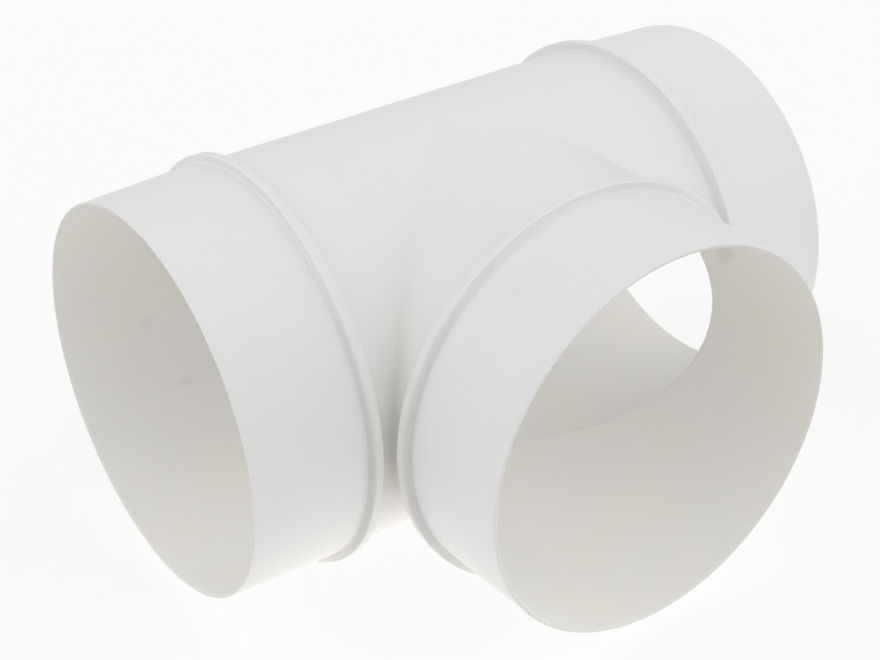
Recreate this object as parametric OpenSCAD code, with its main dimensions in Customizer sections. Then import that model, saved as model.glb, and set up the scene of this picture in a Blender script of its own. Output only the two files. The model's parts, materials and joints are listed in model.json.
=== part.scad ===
// Equal round duct tee, moulded in one piece.
// A straight run lies along X and a branch of the same size leaves it towards -Y.
// The origin is the point where the two axes cross, and +Z is up.
// Each of the three mouths is a tapered spigot behind a raised stop bead.

/* [Body] */
// Outer diameter of the body between the stop beads
body_d = 100; // [70:1:160]
// Wall thickness of the body
body_wall = 1.7; // [1.5:0.1:3]
// Plain length of tube between the other tube's wall and each stop bead
throat_l = 4.3; // [2:0.1:20]

/* [Stop beads] */
// Width of each stop bead along its tube
bead_w = 2.5; // [1.6:0.1:5]
// Height of each stop bead above the body's wall
bead_h = 2.4; // [1:0.1:4]
// Radius on the two crest edges of each stop bead
bead_edge_r = 0.5; // [0.2:0.05:0.7]

/* [Spigots] */
// Length of each spigot from its stop bead to its rim
spigot_l = 29.7; // [20:0.1:60]
// Length of the cylindrical land at the root of each spigot
land_l = 6; // [3:0.5:15]
// Height of the land above the body's wall
land_rise = 0.2; // [0.1:0.05:0.5]
// Wall thickness at each rim
rim_wall = 1.05; // [0.8:0.05:1.4]
// Chamfer on the outer edge of each rim
rim_chamfer = 0.3; // [0.1:0.05:0.5]

/* [Hidden] */
$fn = 180;

body_r = body_d / 2;
bore_r = body_r - body_wall;
land_r = body_r + land_rise;
rim_r = bore_r + rim_wall;
bead_r = body_r + bead_h;

// Distances along each tube from the crossing of the axes
bead_start = body_r + throat_l;
bead_end = bead_start + bead_w;
mouth = bead_end + spigot_l;

// How far each bore's cutter runs past the rims
cut_past = 1;

// Turns what is drawn along +Z towards +X, -X or -Y
module towards_right() rotate([0, 90, 0]) children();
module towards_left() rotate([0, -90, 0]) children();
module towards_branch() rotate([90, 0, 0]) children();

// A solid stop bead, with a rounded crest edge at each side
module stop_bead() {
    translate([0, 0, bead_start])
        cylinder(r = bead_r - bead_edge_r, h = bead_w);
    translate([0, 0, bead_start + bead_edge_r])
        cylinder(r = bead_r, h = bead_w - 2 * bead_edge_r);
    for (z = [bead_start + bead_edge_r, bead_end - bead_edge_r])
        translate([0, 0, z])
            rotate_extrude()
                translate([bead_r - bead_edge_r, 0])
                    circle(r = bead_edge_r, $fn = 32);
}

// A solid spigot: a short land, a slow taper and a chamfered rim
module spigot() {
    translate([0, 0, bead_end])
        rotate_extrude()
            polygon([
                [0, 0],
                [land_r, 0],
                [land_r, land_l],
                [rim_r, spigot_l - rim_chamfer],
                [rim_r - rim_chamfer, spigot_l],
                [0, spigot_l]
            ]);
}

// One arm as a solid bar: plain tube, stop bead and spigot
module arm() {
    cylinder(r = body_r, h = bead_end);
    stop_bead();
    spigot();
}

// The tee: three arms in one solid, with both bores cut through
module duct_tee() {
    color("white")
        difference() {
            union() {
                towards_right() arm();
                towards_left() arm();
                towards_branch() arm();
            }
            translate([-mouth - cut_past, 0, 0])
                towards_right()
                    cylinder(r = bore_r, h = 2 * (mouth + cut_past));
            towards_branch()
                cylinder(r = bore_r, h = mouth + cut_past);
        }
}

duct_tee();
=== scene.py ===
"""Equal round duct tee in white plastic, on a pale floor in soft studio light.

The tee is one closed surface made of three arms. Each arm is a profile swept round its
own axis and trimmed where it meets its neighbours. Lengths are in metres, the straight
run lies along X, the branch points to -Y, and +Z is up.
"""

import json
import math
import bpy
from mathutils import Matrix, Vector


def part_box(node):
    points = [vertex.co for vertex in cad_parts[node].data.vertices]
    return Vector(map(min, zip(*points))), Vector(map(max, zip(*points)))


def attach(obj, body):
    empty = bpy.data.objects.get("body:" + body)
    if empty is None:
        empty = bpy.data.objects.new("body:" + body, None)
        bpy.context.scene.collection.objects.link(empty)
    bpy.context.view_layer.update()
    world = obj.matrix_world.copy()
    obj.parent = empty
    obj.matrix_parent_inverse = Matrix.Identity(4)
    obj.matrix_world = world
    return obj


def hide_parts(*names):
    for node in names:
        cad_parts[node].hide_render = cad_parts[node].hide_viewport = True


bl_info = {
    "name": "Round Duct Tee",
    "version": (1, 0, 0),
    "blender": (4, 5, 0),
    "location": "View3D > Sidebar > Duct Tee",
    "description": "Makes an equal round duct tee with its plastic and a small studio",
    "category": "Add Mesh",
}

import bmesh
import bpy
import numpy as np
from bpy.props import FloatProperty, FloatVectorProperty, IntProperty, PointerProperty
from mathutils import Matrix, Vector

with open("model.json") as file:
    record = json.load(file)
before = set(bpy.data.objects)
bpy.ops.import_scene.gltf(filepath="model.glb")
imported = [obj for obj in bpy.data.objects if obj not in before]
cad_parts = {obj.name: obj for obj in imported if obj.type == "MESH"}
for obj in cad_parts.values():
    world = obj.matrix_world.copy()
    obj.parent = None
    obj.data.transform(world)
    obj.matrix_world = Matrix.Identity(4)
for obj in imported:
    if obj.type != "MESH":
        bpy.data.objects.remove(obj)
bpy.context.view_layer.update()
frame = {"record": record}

NODE = "duct_tee"
SLOT = "white_plastic"
MM = 0.001
LOWEST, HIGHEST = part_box(NODE)
MOUNTS = {mount["name"]: mount for mount in frame["record"]["mounts"]}
LAND = MOUNTS["right_spigot"]
BEAD_FACE = LAND["pos_m"][0] - LAND["dims"]["length_mm"] * MM / 2
PLASTIC = next(m for m in frame["record"]["materials"] if m["slot"] == SLOT)

# Rows of faces along each part of an arm
ROWS = {"crease": 5, "body": 16, "foot": 9, "crest edge": 4, "flat": 2, "land": 4, "taper": 12,
        "tip": 4, "lip": 7, "bore": 30, "saddle": 7}

# How far inside a flat its first and last rows lie, which keeps its shading flat
GUARD = 0.08 * MM

# Vertices nearer to each other than this are one
SEAM = 0.002 * MM

# Takes the record's colour, which is rounded, to the neutral white of the outside
NEUTRAL = (1.006, 1.004, 1.019)


# Sizes and colours that a user would change

class TeeShape(bpy.types.PropertyGroup):
    """Sizes of the moulding. The defaults that the frame states are read from it."""

    body_radius: FloatProperty(
        name="Body radius", description="Outer radius of the tubes between the stop beads",
        default=0.0500, unit="LENGTH")
    bore_radius: FloatProperty(
        name="Bore radius", description="Radius of both bores",
        default=MOUNTS["run_bore"]["dims"]["r_mm"] * MM, unit="LENGTH")
    mouth: FloatProperty(
        name="Mouth", description="Distance of each rim from the crossing of the axes",
        default=HIGHEST.x, unit="LENGTH")
    bead_radius: FloatProperty(
        name="Bead radius", description="Outer radius of the stop beads",
        default=HIGHEST.z, unit="LENGTH")
    bead_width: FloatProperty(
        name="Bead width", description="Width of each stop bead along its tube",
        default=0.0025, unit="LENGTH")
    bead_edge: FloatProperty(
        name="Bead edge", description="Radius on the crest edges of the stop beads",
        default=0.0003, unit="LENGTH")
    bead_foot: FloatProperty(
        name="Bead foot", description="Fillet at the feet of the stop beads",
        default=0.0004, unit="LENGTH")
    land_radius: FloatProperty(
        name="Land radius", description="Radius of the cylindrical root of each spigot",
        default=LAND["dims"]["r_mm"] * MM, unit="LENGTH")
    land_length: FloatProperty(
        name="Land length", description="Length of the cylindrical root of each spigot",
        default=LAND["dims"]["length_mm"] * MM, unit="LENGTH")
    land_start: FloatProperty(
        name="Land start", description="Distance of the land from the crossing of the axes",
        default=BEAD_FACE, unit="LENGTH")
    rim_wall: FloatProperty(
        name="Rim wall", description="Wall thickness at each rim",
        default=0.00105, unit="LENGTH")
    rim_edge: FloatProperty(
        name="Rim edge", description="Radius on the outer edge of each rim",
        default=0.00025, unit="LENGTH")
    rim_inner_edge: FloatProperty(
        name="Inner rim edge", description="Radius on the inner edge of each rim",
        default=0.00075, unit="LENGTH")
    crease_radius: FloatProperty(
        name="Crease radius", description="Fillet in the outer crease between run and branch",
        default=0.0003, unit="LENGTH")
    saddle_radius: FloatProperty(
        name="Saddle radius", description="Rounding of the inner edge between the bores",
        default=0.0018, unit="LENGTH")
    columns: IntProperty(
        name="Columns", description="Columns of faces round each arm, a multiple of four",
        default=224, min=32, max=320, step=4)


class TeeFinish(bpy.types.PropertyGroup):
    """Colours and texture of the plastic."""

    outside: FloatVectorProperty(
        name="Outside", description="Colour of the outer surface",
        subtype="COLOR", default=[c * n for c, n in zip(PLASTIC["base_color"], NEUTRAL)],
        min=0, max=1)
    # Painted light: the bores are lighter than the outside, standing in for light that comes through
    # the thin wall
    inside: FloatVectorProperty(
        name="Inside", description="Colour of the bores",
        subtype="COLOR", default=(0.909, 0.899, 0.880), min=0, max=1)
    roughness: FloatProperty(
        name="Roughness", description="Roughness of the moulded surface",
        subtype="FACTOR", default=0.46, min=0, max=1)
    ageing: FloatVectorProperty(
        name="Ageing", description="What the colour is multiplied by where it has yellowed",
        subtype="COLOR", default=(1.0, 0.995, 0.97), min=0, max=1)
    yellowing: FloatVectorProperty(
        name="Yellowing", description="What the colour is multiplied by in the yellowed patch",
        subtype="COLOR", default=(1.0, 0.996, 0.955), min=0, max=1)
    # Painted shade: the rims' faces are made duller to stand in for the weaker light that falls on
    # them
    rim_painted_shade: FloatProperty(
        name="Rim tone", description="Brightness of the rims' faces against the rest",
        subtype="FACTOR", default=0.83, min=0, max=1)
    # Painted shade: a warmer, slightly darker tint deep in the crotches between run and branch
    crotch_painted_shade: FloatVectorProperty(
        name="Crotch tone", description="What the colour is multiplied by deep in the crotches",
        subtype="COLOR", default=(1.0, 0.995, 0.95), min=0, max=1)
    tone_change: FloatProperty(
        name="Tone change", description="How much the plastic's tone drifts from place to place",
        subtype="FACTOR", default=0.02, min=0, max=0.2)
    relief: FloatProperty(
        name="Relief", description="Height of the soft waves in the skin",
        default=0.000006, precision=6, unit="LENGTH")
    grain: FloatProperty(
        name="Grain", description="Height of the fine grain that the mould leaves",
        default=0.0000022, precision=7, unit="LENGTH")
    # Besides specks, smudges and nicks this also scales the painted shade on the right flank of the
    # branch and the painted light and shade on the beads' faces
    mark_and_shade_strength: FloatProperty(
        name="Mark strength", description="How strongly specks, smudges and nicks show",
        subtype="FACTOR", default=1.0, min=0, max=2)


class StudioSettings(bpy.types.PropertyGroup):
    """Camera, floor and light."""

    camera_at: FloatVectorProperty(
        name="Camera", description="Place of the camera",
        subtype="TRANSLATION", unit="LENGTH", default=(-0.22953, -0.32249, 0.23426))
    camera_aim: FloatVectorProperty(
        name="Aim", description="Point that the camera looks at",
        subtype="TRANSLATION", unit="LENGTH", default=(-0.01214, -0.01518, 0.0))
    camera_roll: FloatProperty(
        name="Roll", description="Turn of the camera about its own line of sight",
        subtype="ANGLE", default=math.radians(-1.03))
    lens: FloatProperty(
        name="Lens", description="Focal length in millimetres on a 36 mm sensor",
        default=72.417)
    sky: FloatProperty(
        name="Sky", description="Strength of the even light from all sides",
        default=0.25, min=0)
    soft_lights: FloatProperty(
        name="Soft lights", description="Strength of the soft lights",
        default=1.0, min=0)
    floor_colour: FloatVectorProperty(
        name="Floor", description="Colour of the floor",
        subtype="COLOR", default=(0.90, 0.89, 0.87), min=0, max=1)
    floor_glow: FloatProperty(
        name="Floor glow", description="Light that the floor gives off under the tee",
        default=0.755, min=0)
    glow_colour: FloatVectorProperty(
        name="Glow colour", description="Colour of the light that the floor gives off",
        subtype="COLOR", default=(1.0, 0.97, 0.935), min=0, max=1)


# Surface of the moulding

def arc(centre, radius, start, end, steps):
    """Points on an arc of the profile.

    Each point is the centre plus the radius times (cosine, sine) of an angle that goes
    in even steps from start to end, in degrees. Columns are (along the arm, radius).
    """
    turn = np.radians(np.linspace(start, end, steps + 1))
    return np.stack([centre[0] + radius * np.cos(turn), centre[1] + radius * np.sin(turn)], axis=1)


def straight(start, end, steps, guard):
    """Points inside a straight stretch of the profile.

    The first and last lie a guard's length from the ends, which keeps the shading of the
    stretch flat, and the others are evenly spaced between them.
    """
    start, end = np.array(start), np.array(end)
    edge = guard / np.linalg.norm(end - start)
    share = np.linspace(edge, 1 - edge, steps)[:, None]
    return start + (end - start) * share


def swept_profile(s):
    """The part of an arm's profile that is the same all round it.

    It runs out over the stop bead and the spigot, round the rim, and ends where the bore
    begins. Returns the points and, for each, how far it counts as inside: 0 on the
    outside, 0.5 on the rim's face, and from there up to 1 where the bore begins.
    """
    bead_start = s.land_start - s.bead_width
    rim = s.bore_radius + s.rim_wall
    land_end = s.land_start + s.land_length
    fall = math.degrees(math.atan2(s.land_radius - rim, s.mouth - land_end))
    edge, foot, tip, lip = s.bead_edge, s.bead_foot, s.rim_edge, s.rim_inner_edge
    near_foot = arc((bead_start - foot, s.body_radius + foot), foot, -90, 0, ROWS["foot"])
    crest = s.bead_radius - edge
    near_crest = arc((bead_start + edge, crest), edge, 180, 90, ROWS["crest edge"])
    far_crest = arc((s.land_start - edge, crest), edge, 90, 0, ROWS["crest edge"])
    far_foot = arc((s.land_start + foot, s.land_radius + foot), foot, 180, 270, ROWS["foot"])
    tip_edge = arc((s.mouth - tip, rim - tip), tip, 90 - fall, 0, ROWS["tip"])
    lip_edge = arc((s.mouth - lip, s.bore_radius + lip), lip, 0, -90, ROWS["lip"])
    land = (land_end, s.land_radius)
    outside = np.concatenate([
        near_foot,
        straight(near_foot[-1], near_crest[0], ROWS["flat"], GUARD),
        near_crest,
        straight(near_crest[-1], far_crest[0], ROWS["flat"], GUARD),
        far_crest,
        straight(far_crest[-1], far_foot[0], ROWS["flat"], GUARD),
        far_foot,
        straight(far_foot[-1], land, ROWS["land"], GUARD),
        [land],
        straight(land, tip_edge[0], ROWS["taper"], GUARD),
        tip_edge,
    ])
    face = straight(tip_edge[-1], lip_edge[0], ROWS["flat"], GUARD / 4)
    points = np.concatenate([outside, face, lip_edge])
    inside = np.concatenate([
        np.zeros(len(outside)),
        np.full(len(face), 0.5),
        np.linspace(0.5, 1, len(lip_edge)),
    ])
    return points, inside


def blend_arc(angle, reach, tube, ball, steps):
    """Half of the rounding where this arm meets the next one.

    A ball of the given radius rolls along the crossing of two equal tubes and touches
    both. With c the cosine of the column's angle and n its sine, the ball's centre is
    (tube + ball) times (|c|, c, n), it touches this arm along (0, c, n) and the other arm
    along (|c|, 0, n). The surface is the centre minus the ball's radius times a unit
    vector that turns from the one to half way towards the other. Where reach is 0 no
    arm is met on that side, and the arm is cut off square at the crossing.
    """
    c, n = np.cos(angle), np.sin(angle)
    none = np.zeros_like(angle)
    own = np.stack([none, c, n], axis=-1)
    other = np.where(reach[:, None] > 0, np.stack([reach, none, n], axis=-1), own)
    centre = (tube + ball) * np.stack([reach, c, n], axis=-1)
    share = np.linspace(0, 0.5, steps + 1)[:, None, None]
    turned = own * (1 - share) + other * share
    turned /= np.linalg.norm(turned, axis=-1, keepdims=True)
    return centre - ball * turned


def stretch_rows(start, end, steps):
    """Distances along the arm between a trimmed edge and a fixed place, one row a step.

    start or end may differ from column to column. The first and last row lie a guard's
    length inside the stretch, and the others are evenly spaced between them.
    """
    share = np.linspace(0, 1, steps)[:, None]
    way = np.sign(np.mean(end - start))
    first, last = start + way * GUARD, end - way * GUARD
    return first + (last - first) * share


def arm_surface(s, both_sides):
    """One arm as a grid of points in its own frame: along the arm, to the side, up.

    The rows follow the wall from the outer crease over the spigot and back along the
    bore to the inner edge. The columns go round the axis: an angle of 0 is the side
    where the arm meets its neighbour, and with both_sides it meets one at 180 degrees
    too. Returns the points and how far each row counts as inside.
    """
    angle = np.linspace(0, 2 * math.pi, s.columns, endpoint=False)
    c, n = np.cos(angle), np.sin(angle)
    reach = np.abs(c) if both_sides else np.maximum(c, 0)
    reach = np.where(reach < 1e-9, 0, reach)
    crease = blend_arc(angle, reach, s.body_radius, s.crease_radius, ROWS["crease"])[::-1]
    saddle = blend_arc(angle, reach, s.bore_radius, s.saddle_radius, ROWS["saddle"])
    profile, inside = swept_profile(s)

    def ring(along, radius):
        """Rows of points at a distance along the arm and a radius, in every column."""
        shape = (len(along), len(angle))
        return np.stack([np.broadcast_to(along, shape), radius * np.broadcast_to(c, shape),
                         radius * np.broadcast_to(n, shape)], axis=-1)

    body = ring(stretch_rows(crease[-1, :, 0], profile[0, 0], ROWS["body"]), s.body_radius)
    swept = ring(profile[:, :1], profile[:, 1:])
    bore = ring(stretch_rows(profile[-1, 0], saddle[0, :, 0], ROWS["bore"]), s.bore_radius)
    rows = np.concatenate([crease, body, swept, bore, saddle])
    outer = np.zeros(len(crease) + len(body))
    inner = np.ones(len(bore) + len(saddle))
    return rows, np.concatenate([outer, inside, inner])


def grid_faces(rows, columns, first, turned):
    """Vertex numbers of the quads of a grid that closes round its columns.

    first is the number of the grid's first vertex. turned reverses the order of each
    quad, which an arm in a left-handed frame needs so that its faces look outwards.
    """
    low = np.arange(rows - 1)[:, None] * columns
    here = np.arange(columns)[None, :]
    after = (here + 1) % columns
    quads = np.stack([low + here, low + after, low + columns + after, low + columns + here], axis=-1)
    quads = quads.reshape(-1, 4) + first
    return quads[:, ::-1] if turned else quads


def moulding_mesh(s):
    """The whole tee as one closed mesh, with attributes named inside and branch.

    Each arm's frame is given by the way it points and the side on which it meets its
    neighbour. The three grids share their trimmed edges, which are merged.
    """
    arms = [
        (Vector((1, 0, 0)), Vector((0, -1, 0)), False),
        (Vector((-1, 0, 0)), Vector((0, -1, 0)), False),
        (Vector((0, -1, 0)), Vector((1, 0, 0)), True),
    ]
    up = Vector((0, 0, 1))
    points, quads, inside, branch, count = [], [], [], [], 0
    for along, side, both_sides in arms:
        rows, depth = arm_surface(s, both_sides)
        axes = np.array([along, side, up])
        points.append((rows @ axes).reshape(-1, 3))
        inside.append(np.repeat(depth, s.columns))
        branch.append(np.full(rows.shape[0] * rows.shape[1], float(both_sides)))
        left_handed = along.cross(side).dot(up) < 0
        quads.append(grid_faces(len(rows), s.columns, count, left_handed))
        count += rows.shape[0] * rows.shape[1]
    mesh = bpy.data.meshes.new("duct_tee_moulding")
    mesh.from_pydata(np.concatenate(points).tolist(), [], np.concatenate(quads).tolist())
    for name, parts in (("inside", inside), ("branch", branch)):
        values = mesh.attributes.new(name, "FLOAT", "POINT")
        values.data.foreach_set("value", np.concatenate(parts).astype(np.float32))
    close_seams(mesh)
    return mesh


def close_seams(mesh):
    """Merges the vertices that lie on each other and shades the mesh smooth."""
    work = bmesh.new()
    work.from_mesh(mesh)
    bmesh.ops.remove_doubles(work, verts=work.verts, dist=SEAM)
    bmesh.ops.dissolve_degenerate(work, edges=work.edges, dist=SEAM / 10)
    if any(len(edge.link_faces) != 2 for edge in work.edges):
        raise RuntimeError("the moulding's surface isn't closed")
    if work.calc_volume(signed=True) <= 0:
        raise RuntimeError("the moulding's faces look inwards")
    work.to_mesh(mesh)
    work.free()
    mesh.polygons.foreach_set("use_smooth", np.ones(len(mesh.polygons), bool))
    mesh.update()


# Shader maths

class Wire:
    """A socket that takes part in Python arithmetic. Each sign adds a Math node."""

    def __init__(self, graph, socket):
        self.graph = graph
        self.socket = socket

    def maths(self, operation, *terms):
        """A Math node of this operation on this socket and the given numbers or wires."""
        values = dict(enumerate((self, *terms)))
        return self.graph.node("ShaderNodeMath", {"operation": operation}, values).out()

    def __add__(self, other):
        return self.maths("ADD", other)

    __radd__ = __add__

    def __mul__(self, other):
        return self.maths("MULTIPLY", other)

    __rmul__ = __mul__

    def __sub__(self, other):
        return self.maths("SUBTRACT", other)

    def __rsub__(self, other):
        return (self * -1) + other

    def __truediv__(self, other):
        return self.maths("DIVIDE", other)

    def __pow__(self, other):
        return self.maths("POWER", other)

    def ramp(self, low, high):
        """0 below low, 1 above high, and a smooth rise between. Falls if low is above high."""
        values = {0: self, 1: min(low, high), 2: max(low, high),
                  3: float(low > high), 4: float(low <= high)}
        settings = {"interpolation_type": "SMOOTHSTEP"}
        return self.graph.node("ShaderNodeMapRange", settings, values).out()


class Node:
    """A node that has been added to a graph."""

    def __init__(self, graph, node):
        self.graph = graph
        self.node = node

    def out(self, name=0):
        """One of the node's output sockets, by name or number."""
        return Wire(self.graph, self.node.outputs[name])


class Graph:
    """The node tree of one material or of the world, emptied to begin with."""

    def __init__(self, tree):
        self.tree = tree
        tree.nodes.clear()

    def node(self, kind, settings=None, values=None):
        """Adds a node of a kind, with its settings first, then its sockets' values or links."""
        node = self.tree.nodes.new(kind)
        for name, setting in (settings or {}).items():
            setattr(node, name, setting)
        for name, value in (values or {}).items():
            if isinstance(value, Wire):
                self.tree.links.new(value.socket, node.inputs[name])
            else:
                node.inputs[name].default_value = value
        return Node(self, node)

    def mix(self, factor, first, second):
        """A colour that goes from the first to the second as the factor goes from 0 to 1."""
        settings = {"data_type": "RGBA"}
        return self.node("ShaderNodeMix", settings, {0: factor, 6: first, 7: second}).out(2)

    def vector(self, operation, first, second):
        """A Vector Math node of this operation on two vectors."""
        values = {0: first, 1: second}
        return self.node("ShaderNodeVectorMath", {"operation": operation}, values).out()

    def length(self, vector):
        """The length of a vector."""
        return self.node("ShaderNodeVectorMath", {"operation": "LENGTH"}, {0: vector}).out("Value")

    def tint(self, base, factor):
        """A colour times a factor, which is a number for each channel or a wire."""
        return self.vector("MULTIPLY", base, factor)

    def noise(self, place, size, detail=2.0, roughness=0.5):
        """Noise with features of a size in metres, as a factor about 0.5."""
        values = {"Vector": place, "Scale": 1 / size, "Detail": detail, "Roughness": roughness}
        return self.node("ShaderNodeTexNoise", None, values).out("Fac")


def colour(rgb):
    """A colour socket's four values."""
    return (*rgb, 1.0)


# Material of the moulding

# Sizes of the patterns in the plastic, from the slow drift of its tone to the fine grain
DRIFT = 26 * MM
MOTTLE = 4 * MM
WAVES = 1.6 * MM
DRAG_LINES = 0.7 * MM
GRAIN = 0.3 * MM

# Specks: how far apart they may be, their radius, the share of places that has one, and
# how much darker they are
SPECK_SPACING = 11 * MM
SPECK_RADIUS = 0.22 * MM
SPECK_SHARE = 0.3
SPECK_TONE = 0.16

# Marks that the moulding carries, and one patch of painted shade on the right flank of the
# branch, as soft ellipsoids: the middle and the half sizes in millimetres, the turn in degrees
# about X, Y and Z, and how much lighter (+) or darker (-) the plastic is there. Those in the
# bores don't show on the outside of the wall. Of the yellowed patch the last number is how
# far it takes the colour of the yellowing
BORE_MARKS = {
    # A plain darker patch on the wall of the branch's bore
    "smudge in the branch": ((42.6, -58.2, 22.9), (9.5, 3.6, 6.0), (128, -43, -118), -0.11),
    "upper smudge in the run": ((-62.7, 47.3, -9.6), (2.3, 2.0, 3.2), (0, 0, 0), -0.05),
    "lower smudge in the run": ((-57.1, 40.1, -27.0), (3.2, 2.0, 1.9), (0, 0, 0), -0.06),
}
YELLOWED = {
    "wall of the branch's bore": ((45, -70, 14), (22, 34, 36), (0, 0, 0), 1.0),
}
SKIN_MARKS_AND_SHADE = {
    "front dash on the body": ((4.9, -34.8, 49.7), (1.3, 0.6, 1.0), (0, 0, 0), -0.05),
    "back dash on the body": ((2.3, -41.0, 49.9), (1.0, 0.7, 1.0), (0, 0, 0), -0.03),
    # Painted shade: the right flank of the branch is made darker for the weaker light that falls on
    # it
    "shade on the branch's right": ((17, -58, 47), (22, 44, 14), (0, 20, 0), -0.045),
    "smear on the branch spigot": ((-28.8, -65.1, 41.0), (3.5, 5.0, 3.5), (0, 0, 0), -0.015),
    "scratch on the branch spigot": ((-49.2, -73.5, 7.8), (1.0, 0.8, 0.8), (0, 0, 0), -0.04),
    "pale burr on the rim": ((-34.2, -86.3, -34.9), (1.6, 0.8, 1.3), (0, 0, 0), 0.05),
    "white speck on the rim": ((-35.7, -86.5, -33.7), (0.45, 0.4, 0.45), (0, 0, 0), 0.25),
    "dark nick on the rim": ((-36.3, -86.3, -33.3), (0.5, 0.6, 0.4), (0, 0, 0), -0.35),
    "dark nick beside it": ((-35.0, -86.3, -34.7), (0.7, 0.6, 0.4), (0, 0, 0), -0.35),
    "dark nick above them": ((-39.5, -86.3, -29.4), (0.5, 0.6, 0.8), (0, 0, 0), -0.2),
}


def mark_and_shade_tone(g, place, marks):
    """How much lighter or darker some marks make the plastic, 0 where there is none.

    Each mark's share is a smooth fall from its middle to its edge, where the distance
    from the middle is 1 once it is divided by the half sizes. Some of the marks are painted shade.
    """
    tone = None
    for middle, half_sizes, turn, strength in marks.values():
        mapped = g.node("ShaderNodeMapping", {"vector_type": "TEXTURE"}, {
            "Vector": place,
            "Location": [v * MM for v in middle],
            "Rotation": [math.radians(v) for v in turn],
            "Scale": [v * MM for v in half_sizes],
        }).out()
        share = g.length(mapped).ramp(1.0, 0.2) * strength
        tone = share if tone is None else tone + share
    return tone


def drag_lines(g, place):
    """Faint lines along each bore, which its core left as it was drawn out.

    The noise is squeezed a hundredfold along X in the run and along Y in the branch.
    """
    branch = g.node("ShaderNodeAttribute", {"attribute_name": "branch"}).out("Fac")
    run_lines = g.noise(g.vector("MULTIPLY", place, (0.01, 1, 1)), DRAG_LINES, 1.0) - 0.5
    branch_lines = g.noise(g.vector("MULTIPLY", place, (1, 0.01, 1)), DRAG_LINES, 1.0) - 0.5
    return run_lines * (1 - branch) + branch_lines * branch


def in_the_crotch(g, place):
    """1 deep in the two crotches between run and branch, and 0 from 9 mm away.

    The crease lies where |x| + y is 0. It counts in full below a height of 15 mm and
    not at all above 40 mm, where the two tubes meet at a flat angle.
    """
    axes = g.node("ShaderNodeSeparateXYZ", None, {0: place})
    apart = (axes.out("X").maths("ABSOLUTE") + axes.out("Y")).maths("ABSOLUTE")
    return apart.ramp(9 * MM, 0.0) * axes.out("Z").ramp(40 * MM, 15 * MM)


# Painted shade and light on the beads' faces towards the rims: how much lighter (+) or darker (-)
# they are made at the height of the axes and 50 mm above them
FACE_PAINTED_SHADE_LOW, FACE_PAINTED_LIGHT_HIGH = -0.11, 0.06


def bead_face_painted_shading(g, place):
    """How much lighter or darker the plastic is on the beads' faces towards the rims.

    A face lies where |x| or -y is BEAD_FACE, and its tone fades out by 0.7 mm on either
    side. The tone rises evenly with height: painted shade low down on the faces and painted
    light high up, for the light that falls on them unevenly.
    """
    axes = g.node("ShaderNodeSeparateXYZ", None, {0: place})
    from_run_face = (axes.out("X").maths("ABSOLUTE") - BEAD_FACE).maths("ABSOLUTE")
    from_branch_face = (axes.out("Y") + BEAD_FACE).maths("ABSOLUTE")
    on_face = from_run_face.maths("MINIMUM", from_branch_face).ramp(0.7 * MM, 0.2 * MM)
    height = axes.out("Z").ramp(0.0, 50 * MM)
    return on_face * (height * (FACE_PAINTED_LIGHT_HIGH - FACE_PAINTED_SHADE_LOW) + FACE_PAINTED_SHADE_LOW)


def specks(g, place):
    """Tiny specks, one in the middle of a share of the cells of a random honeycomb."""
    cells = g.node("ShaderNodeTexVoronoi", None, {"Vector": place, "Scale": 1 / SPECK_SPACING})
    chance = g.node("ShaderNodeSeparateXYZ", None, {0: cells.out("Color")}).out("X")
    near = (cells.out("Distance") * SPECK_SPACING).ramp(SPECK_RADIUS, SPECK_RADIUS * 0.4)
    return near * chance.ramp(1 - SPECK_SHARE, 1.001 - SPECK_SHARE)


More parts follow.
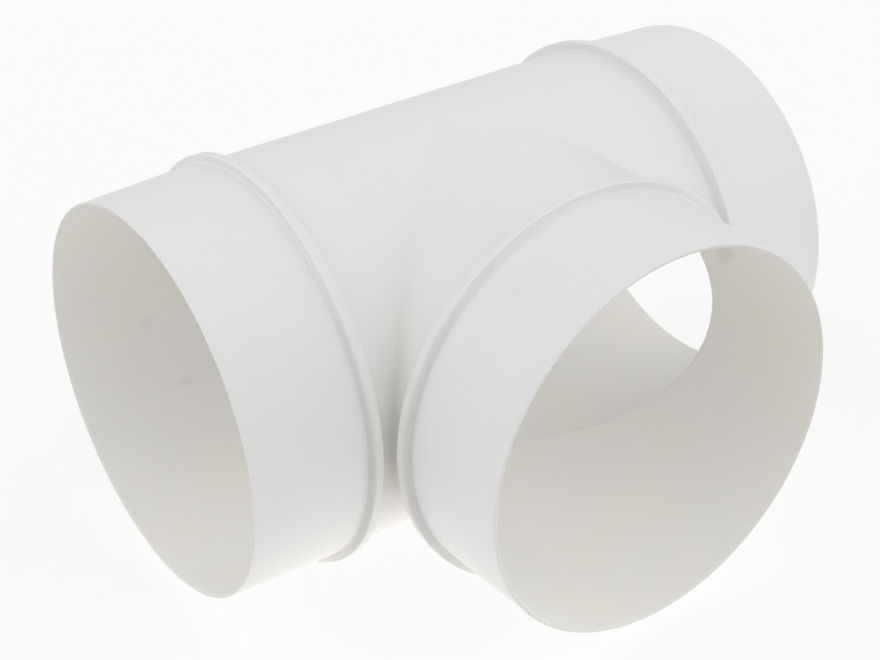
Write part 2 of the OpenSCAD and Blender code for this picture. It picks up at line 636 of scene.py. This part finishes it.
def white_plastic(finish):
    """White moulded plastic with a satin skin, a little warmer in the bores.

    The colour is the plain colour of the outside or of the bore; the bore's is lighter, which is
    painted light for the light that comes through the thin wall. It is yellowed a little where
    the slow drift is high and in one patch of the bores, and tinted warmer deep in the crotches
    as painted shade. It is then multiplied by one plus the sum of the drift, a faint mottling,
    the drag lines of the bores, the grain, the specks, the marks, a painted shade on the right
    flank of the branch and the painted light and shade on the beads' faces. The faces of the
    rims are a little duller, which is painted shade. The skin has soft waves and the fine grain
    of the mould, and the roughness follows the mottling and the grain.
    """
    material = bpy.data.materials.new("white_moulded_plastic")
    material.use_nodes = True
    g = Graph(material.node_tree)
    place = g.node("ShaderNodeTexCoord").out("Object")
    inside = g.node("ShaderNodeAttribute", {"attribute_name": "inside"}).out("Fac")
    drift = g.noise(place, DRIFT) - 0.5
    mottle = g.noise(place, MOTTLE) - 0.5
    waves = g.noise(place, WAVES, 1.0)
    grain = g.noise(place, GRAIN)
    lines = drag_lines(g, place) * inside * 0.6

    base = g.mix(inside, colour(finish.outside), colour(finish.inside))
    aged = drift.ramp(-0.05, 0.15) * (inside * 0.85 + 0.15)
    base = g.mix(aged, base, g.tint(base, finish.ageing))
    yellowed = mark_and_shade_tone(g, place, YELLOWED) * inside
    base = g.mix(yellowed, base, g.tint(base, finish.yellowing))
    # Painted shade: the colour is tinted warmer deep in the crotches
    warm = in_the_crotch(g, place) * (1 - inside)
    base = g.mix(warm, base, g.tint(base, finish.crotch_painted_shade))
    dirt = specks(g, place) * SPECK_TONE
    # The skin marks include painted shade on the right flank of the branch
    marks = mark_and_shade_tone(g, place, SKIN_MARKS_AND_SHADE) + mark_and_shade_tone(g, place, BORE_MARKS) * inside
    # The beads' faces get painted shade low down and painted light high up
    marks = marks + bead_face_painted_shading(g, place) * (1 - inside)
    marks = (marks - dirt) * finish.mark_and_shade_strength
    # The rims' faces are made duller here, which is painted shade
    rim = 1 - (inside * 2 - 1).maths("ABSOLUTE")
    tone = (drift * 1.5 + mottle + lines) * finish.tone_change + (grain - 0.5) * 0.02 + marks + 1
    base = g.tint(base, tone * (1 - rim * (1 - finish.rim_painted_shade)))

    height = waves * finish.relief + grain * finish.grain
    skin = g.node("ShaderNodeBump", None, {"Strength": 1.0, "Distance": 1.0, "Height": height})
    rough = (mottle + grain - 0.5) * 0.12 + (drift + mottle).ramp(0.05, 0.25) * 0.06
    rough = rough + (lines + inside) * 0.04 + finish.roughness
    shader = g.node("ShaderNodeBsdfPrincipled", None, {
        "Base Color": base,
        "Roughness": rough,
        "IOR": 1.47,
        "Normal": skin.out("Normal"),
    })
    g.node("ShaderNodeOutputMaterial", None, {"Surface": shader.out()})
    return material


# Studio

# Share of plain white in what the camera sees of the floor. The rest is its lit paint
WHITE_SHARE = 0.8

# Distances from the middle at which the floor's glow ends and is full
GLOW_END, GLOW_FULL = 0.16, 0.08


def seen(g):
    """1 for rays that show a surface as it looks, 0 for rays that carry light to others."""
    rays = g.node("ShaderNodeLightPath")
    direct = rays.out("Is Camera Ray").maths("MAXIMUM", rays.out("Is Glossy Ray"))
    return direct.maths("MAXIMUM", rays.out("Is Transmission Ray"))


def white_floor(settings):
    """Pale floor that shows near white to the camera and keeps a soft shadow.

    Like a light table it glows under the tee, for the rays that carry light, so the
    undersides stay bright.
    """
    material = bpy.data.materials.new("pale_floor")
    material.use_nodes = True
    g = Graph(material.node_tree)
    shown = seen(g)
    place = g.node("ShaderNodeTexCoord").out("Object")
    patch = g.length(place).ramp(GLOW_END, GLOW_FULL) * (1 - shown) * settings.floor_glow
    paint = g.node("ShaderNodeBsdfDiffuse", None, {"Color": colour(settings.floor_colour)})
    glow = g.node("ShaderNodeEmission", None, {
        "Color": colour(settings.glow_colour), "Strength": patch})
    lit = g.node("ShaderNodeAddShader", None, {0: paint.out(), 1: glow.out()})
    white = g.node("ShaderNodeEmission", None, {"Color": colour((1, 1, 1)), "Strength": 1.0})
    look = g.node("ShaderNodeMixShader", None, {
        0: shown * WHITE_SHARE, 1: lit.out(), 2: white.out()})
    g.node("ShaderNodeOutputMaterial", None, {"Surface": look.out()})
    return material


def add_floor(settings):
    """A round floor under the tee, wide enough to reach the horizon."""
    radius, rings, spokes = 8.0, 8, 64
    turn = np.linspace(0, 2 * math.pi, spokes, endpoint=False)
    size = np.linspace(0, 1, rings + 1)[1:, None] ** 2 * radius
    level = np.full((rings, spokes), LOWEST.z)
    points = np.stack([size * np.cos(turn), size * np.sin(turn), level], axis=-1).reshape(-1, 3)
    quads = grid_faces(rings, spokes, 0, True)
    mesh = bpy.data.meshes.new("floor")
    mesh.from_pydata(points.tolist(), [], quads.tolist() + [list(range(spokes))])
    mesh.materials.append(white_floor(settings))
    floor = bpy.data.objects.new("floor", mesh)
    bpy.context.scene.collection.objects.link(floor)
    return floor


# Soft lights: the azimuth from -Y towards +X and the elevation, in degrees, and the strength
SOFT_LIGHTS = {
    "front right": (20, 38, 1.02),
    "right": (70, 38, 0.53),
    "low right": (80, 8, 1.24),
    "high front": (0, 65, 0.81),
    "back left": (-120, 38, 2.04),
}

# The power of the cosine with which a soft light falls off from its middle
SOFTNESS = 8


def soft_light(g, direction, azimuth, elevation):
    """A broad light far away: the cosine of the angle from its middle, to a power."""
    turn, rise = math.radians(azimuth), math.radians(elevation)
    aim = (math.sin(turn) * math.cos(rise), -math.cos(turn) * math.cos(rise), math.sin(rise))
    values = {0: direction, 1: aim}
    cosine = g.node("ShaderNodeVectorMath", {"operation": "DOT_PRODUCT"}, values).out("Value")
    return cosine.maths("MAXIMUM", 0.0) ** SOFTNESS


def light_world(settings):
    """Even sky and the soft lights, with a plain white backdrop for the camera."""
    world = bpy.data.worlds.new("studio")
    bpy.context.scene.world = world
    world.use_nodes = True
    g = Graph(world.node_tree)
    direction = g.node("ShaderNodeTexCoord").out("Generated")
    light = settings.sky
    for azimuth, elevation, strength in SOFT_LIGHTS.values():
        lobe = soft_light(g, direction, azimuth, elevation)
        light = lobe * (strength * settings.soft_lights) + light
    shown = seen(g)
    strength = shown + light * (1 - shown)
    sky = g.node("ShaderNodeBackground", None, {"Color": colour((1, 1, 1)), "Strength": strength})
    g.node("ShaderNodeOutputWorld", None, {"Surface": sky.out()})


def add_camera(settings):
    """Camera at the photograph's viewing angle."""
    data = bpy.data.cameras.new("camera")
    data.sensor_width = 36.0
    data.lens = settings.lens
    data.clip_start = 0.01
    camera = bpy.data.objects.new("camera", data)
    bpy.context.scene.collection.objects.link(camera)
    at, aim = Vector(settings.camera_at), Vector(settings.camera_aim)
    turn = (aim - at).to_track_quat("-Z", "Y").to_matrix().to_4x4()
    roll = Matrix.Rotation(settings.camera_roll, 4, "Z")
    camera.matrix_world = Matrix.Translation(at) @ turn @ roll
    bpy.context.scene.camera = camera
    return camera


# Operators, panel and registration

class DUCT_OT_moulding(bpy.types.Operator):
    """Make the tee's moulding and its plastic"""

    bl_idname = "duct.moulding"
    bl_label = "Make Moulding"

    def execute(self, context):
        mesh = moulding_mesh(context.scene.tee_shape)
        mesh.materials.append(white_plastic(context.scene.tee_finish))
        piece = bpy.data.objects.new("duct_tee_moulding", mesh)
        context.scene.collection.objects.link(piece)
        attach(piece, "root")
        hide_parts(NODE)
        return {"FINISHED"}


class DUCT_OT_studio(bpy.types.Operator):
    """Make the floor, the light and the camera"""

    bl_idname = "duct.studio"
    bl_label = "Make Studio"

    def execute(self, context):
        settings = context.scene.tee_studio
        add_floor(settings)
        light_world(settings)
        add_camera(settings)
        context.scene.view_settings.view_transform = "Standard"
        return {"FINISHED"}


class DUCT_PT_tee(bpy.types.Panel):
    """Lists the operators and the settings"""

    bl_idname = "DUCT_PT_tee"
    bl_label = "Duct Tee"
    bl_space_type = "VIEW_3D"
    bl_region_type = "UI"
    bl_category = "Duct Tee"

    def draw(self, context):
        layout = self.layout
        layout.operator(DUCT_OT_moulding.bl_idname)
        layout.operator(DUCT_OT_studio.bl_idname)
        for group in GROUPS:
            box = layout.box()
            settings = getattr(context.scene, group)
            for name in settings.bl_rna.properties.keys():
                if name not in ("rna_type", "name"):
                    box.prop(settings, name)


GROUPS = {"tee_shape": TeeShape, "tee_finish": TeeFinish, "tee_studio": StudioSettings}
CLASSES = (*GROUPS.values(), DUCT_OT_moulding, DUCT_OT_studio, DUCT_PT_tee)


def register():
    for cls in CLASSES:
        bpy.utils.register_class(cls)
    for name, cls in GROUPS.items():
        setattr(bpy.types.Scene, name, PointerProperty(type=cls))


def unregister():
    for name in GROUPS:
        delattr(bpy.types.Scene, name)
    for cls in reversed(CLASSES):
        bpy.utils.unregister_class(cls)


def main():
    """Makes the scene."""
    register()
    bpy.ops.duct.moulding()
    bpy.ops.duct.studio()


if __name__ == "__main__":
    main()
